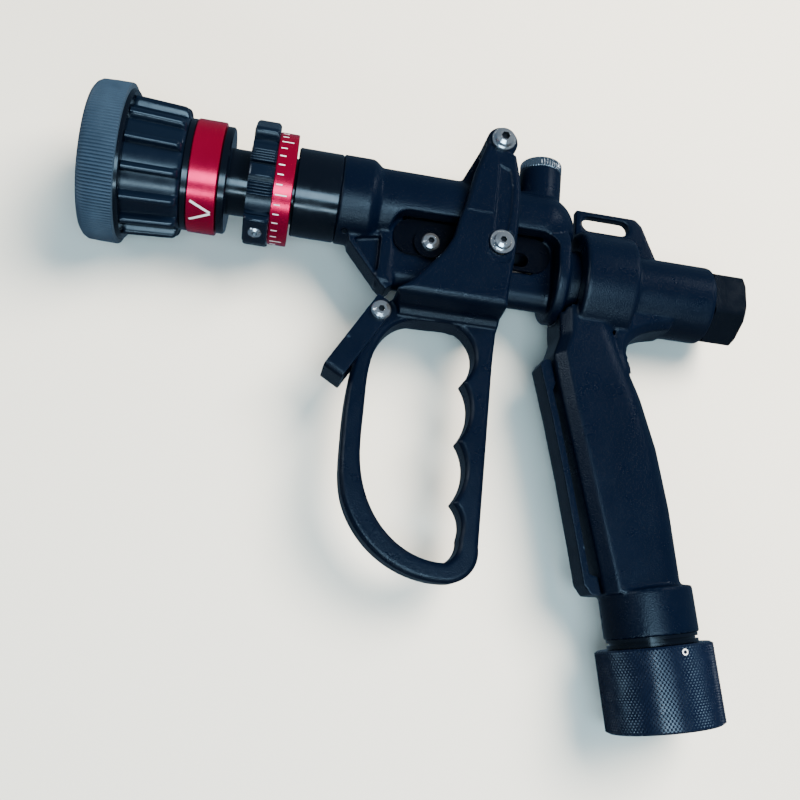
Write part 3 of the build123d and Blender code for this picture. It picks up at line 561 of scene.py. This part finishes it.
def make_flow_ring():
    """Flow ring: three square lugs, ribbed pads and plain blocks with dark gaps between them."""
    low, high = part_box("flow_selector_ring")
    front, rear = low.x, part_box("flow_scale_ring")[0].x
    step_r, turns = 25.4 * MM, 1440
    bevel = ((0.0, 1.6), (0.5, 0.7), (1.4, 0.0))            # run and drop in millimetres
    stations = [(high.x, NECK_BORE, None), (high.x, step_r, None), (rear, step_r, None)]
    stations += [(rear - run * MM, None, drop * MM) for run, drop in bevel]
    stations += [(front + run * MM, None, drop * MM) for run, drop in reversed(bevel)]
    stations += [(front, NECK_BORE, None)]

    def radius(i, a):
        _, r, drop = stations[i]
        if r is not None:
            return r
        turn = a * 180 / pi
        off = min(((turn - lug + 180) % 360 - 180 for lug in LUG_ANGLES), key=abs)
        side = abs((turn - LUG_ANGLES[0]) % LUG_PITCH - LUG_PITCH / 2)
        if abs(off) < LUG_REACH:
            return lug_radius(radians(off)) - drop
        if side < BLOCK_REACH:
            return block_radius(side) - drop * BLOCK_BEVEL
        if PAD_FROM < side < PAD_TO:
            return pad_radius(side) - drop * PAD_BEVEL
        return FLOW_ROOT
    verts, faces = lathe_surface([s[0] for s in stations], radius, turns, on_barrel)
    obj = new_piece("lugged_flow_ring", verts, faces, "flow_selector_group", "moulded_black",
                    "flow_selector_ring", "flow_grip_pads")
    shade_by_angle(obj, angle=40.0)


def ridge(x):
    """0 in a groove and 1 half way to the next, the grooves at the whole numbers."""
    return 1 - abs(2 * (x % 1.0) - 1)


def make_coupling():
    """Swivel coupling with a raised diamond knurl, its diamonds long along the grip."""
    length, inner, bore, shoulder = 38.4 * MM, 22.4 * MM, 19.0 * MM, 16.9 * MM
    around, rows, depth, fine, band = 100, 15, 0.65 * MM, 4, 1.0 * MM
    lip, lip_r, end_r = 0.5 * MM, COUPLING_R - 0.9 * MM, COUPLING_R - 1.6 * MM
    steps = rows * fine
    knurl = [band + (length - 2 * band) * k / steps for k in range(steps + 1)]
    inside = [(length, bore), (shoulder, bore), (shoulder, inner), (0.0, inner), (0.0, end_r),
              (lip, lip_r)]
    stations = inside + [(s, None) for s in knurl] + [(length - lip, lip_r), (length, end_r)]

    def radius(i, a):
        s, r = stations[i]
        if r is not None:
            return r
        t = (s - band) / (length - 2 * band) * rows
        u = a * around / (2 * pi)
        return COUPLING_R - depth * (1 - min(ridge(u + t), ridge(u - t)))
    verts, faces = lathe_surface([s for s, _ in stations], radius, around * fine, on_grip)
    obj = new_piece("knurled_coupling", verts, faces, "swivel", "knurled_black", "swivel_coupling")
    shade_by_angle(obj, angle=20.0)


def make_cleaning_cap():
    """Straight-knurled bright cap on the cleaning boss."""
    low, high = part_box("cleaning_cap")
    middle, r, length = centre("cleaning_cap"), (high.x - low.x) / 2, 5.4 * MM
    base, top = high.y - length, high.y
    teeth, per_tooth, depth = 48, 8, 0.45 * MM
    profile = [(base, 0.0)] + rim(base, 1, r, ((0.0, 0.4), (0.4, 0.0)))
    profile += rim(top, -1, r, ((0.7, 0.0), (0.2, 0.5), (0.0, 1.3))) + [(top, 0.0)]
    knurled = (2, 3)

    def radius(i, a):
        return profile[i][1] - (depth * scallop(a, teeth) if i in knurled else 0.0)

    def place(y, out, a):
        return (middle.x + out * cos(a), y, middle.z + out * sin(a))
    verts, faces = lathe_surface([y for y, _ in profile], radius, teeth * per_tooth, place)
    obj = new_piece("knurled_cleaning_cap", verts, faces, "frame", "bright_aluminium",
                    "cleaning_cap")
    shade_by_angle(obj, angle=40.0)


# ---- painted marks ------------------------------------------------------------------------------
PAINT_UNDER, STROKE_TOP, MARK_TOP = 0.02 * MM, 0.06 * MM, 0.08 * MM     # above the metal


def ring_stroke(name, start, end, width, x, angle, radius, body):
    """White stroke that hugs a scale ring, between two (along, around) millimetre points."""
    steps = 8
    along = Vector(end) - Vector(start)
    across = Vector((-along.y, along.x)).normalized() * width / 2
    verts, faces = [], []
    for k in range(steps + 1):
        middle = Vector(start) + along * k / steps
        for side in (1, -1):
            u, v = middle + across * side
            for lift in (PAINT_UNDER, STROKE_TOP):
                verts.append(on_barrel(x + u * MM, radius + lift, angle + v * MM / radius))
    for k in range(steps):
        a = 4 * k
        faces += [(a + 1, a + 5, a + 7, a + 3), (a, a + 2, a + 6, a + 4),
                  (a, a + 4, a + 5, a + 1), (a + 2, a + 3, a + 7, a + 6)]
    last = 4 * steps
    faces += [(0, 1, 3, 2), (last, last + 2, last + 3, last + 1)]
    piece = new_piece(name, verts, faces, body, "white_ptfe")
    piece.data.materials[0] = WHITE_MARK


def make_pattern_arrow():
    """Arrow head on the pattern ring, from two strokes that meet at its tip."""
    reach, tail_spread, tip_spread, width, angle = 5.0, 5.6, 0.3, 1.25, radians(153.0)
    x, radius = centre("pattern_scale_ring").x, half_height("pattern_scale_ring")
    for side, label in ((1, "upper"), (-1, "lower")):
        tail, tip = (-reach, tail_spread * side), (reach, tip_spread * side)
        ring_stroke(f"pattern_arrow_{label}", tail, tip, width, x, angle, radius,
                    "pattern_sleeve_group")


def make_flow_ticks():
    """Plain tick scale round the flow ring, every sixth tick longer."""
    ticks, per_long, first, width = 36, 6, 2.0, 0.55
    foot, long, short = -3.4, 5.8, 3.0
    x, radius = centre("flow_scale_ring").x, half_height("flow_scale_ring")
    for k in range(ticks):
        length = short if k % per_long else long
        angle = radians(first + 360 / ticks * k)
        ring_stroke(f"flow_tick_{k:02d}", (foot, 0.0), (foot + length, 0.0), width, x, angle,
                    radius, "flow_selector_group")


def make_coupling_mark():
    """Small painted ring near the coupling's rear edge."""
    s, angle, outer, inner, sides = 35.2 * MM, radians(84.0), 1.5 * MM, 0.9 * MM, 24
    section = ((inner, PAINT_UNDER), (outer, PAINT_UNDER), (outer, MARK_TOP), (inner, MARK_TOP))
    verts, faces = [], []
    for k in range(sides):
        turn = 2 * pi * k / sides
        for r, lift in section:
            verts.append(on_grip(s + r * cos(turn), COUPLING_R + lift,
                                 angle + r * sin(turn) / COUPLING_R))
    for k in range(sides):
        a, b = 4 * k, 4 * ((k + 1) % sides)
        faces += [(a + j, b + j, b + (j + 1) % 4, a + (j + 1) % 4) for j in range(4)]
    piece = new_piece("coupling_mark", verts, faces, "swivel", "white_ptfe")
    piece.data.materials[0] = WHITE_MARK


# ---- pieces that keep their CAD shape -----------------------------------------------------------
WINDOW_PIECES = ("side_covers", "cover_bosses")
HEX_SOCKETS = {"pivot_bolt": 4.0 * MM, "crosshead_bolt": 3.0 * MM, "cover_screws": 3.0 * MM,
               "latch_screws": 3.0 * MM}    # width across flats
SOCKET_REACH = 0.6                          # share of that width which takes in the corners


def dress_nodes():
    """Each node gets the look of its slot; the covers inside the window get a darker, duller copy
    of it as painted shade.
    """
    for name, obj in frame["nodes"].items():
        dress(obj, SLOT_OF[name])
        shade_by_angle(obj)
    # Painted shade: the covers and bosses in the window pocket get a darker copy of the gloss
    # black.
    for name in WINDOW_PIECES:
        frame["nodes"][name].data.materials[0] = WINDOW_PAINTED_SHADE


def paint_socket_shade():
    """Painted shade: the hexagon sockets' walls and floors get a near-black material of their own,
    so that they read dark.
    """
    for node, across_flats in HEX_SOCKETS.items():
        obj, axis, reach = frame["nodes"][node], centre(node), SOCKET_REACH * across_flats
        places = [obj.matrix_world @ v.co for v in obj.data.vertices]
        inside = [hypot(p.x - axis.x, p.y - axis.y) < reach for p in places]
        obj.data.materials.append(SOCKET_PAINTED_SHADE)
        for face in obj.data.polygons:
            if all(inside[i] for i in face.vertices):
                face.material_index = 1


def squash_spring():
    """Give the spring a mesh of its own."""
    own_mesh(frame["nodes"]["valve_spring"])


CASTINGS = (        # node, piece, body, voxel in metres, rounds of smoothing
    ("barrel_body", "barrel_casting", "frame", 0.0007, 6),
    ("valve_body", "valve_casting", "frame", 0.0008, 8),
    ("trigger_lever", "trigger_casting", "trigger", 0.0006, 4),
    ("grip_front_strip", "grip_strip_casting", "frame", 0.0005, 4),
    ("hold_open_latch", "latch_stirrup", "latch", 0.0003, 3),
)


# ---- assemble -----------------------------------------------------------------------------------
dress_nodes()
paint_socket_shade()
squash_spring()
for casting in CASTINGS:
    soften(*casting)
make_sleeve()
make_flow_ring()
make_bumper()
make_coupling()
make_cleaning_cap()
make_pattern_arrow()
make_flow_ticks()
make_coupling_mark()
make_floor()
make_lights()
make_camera()
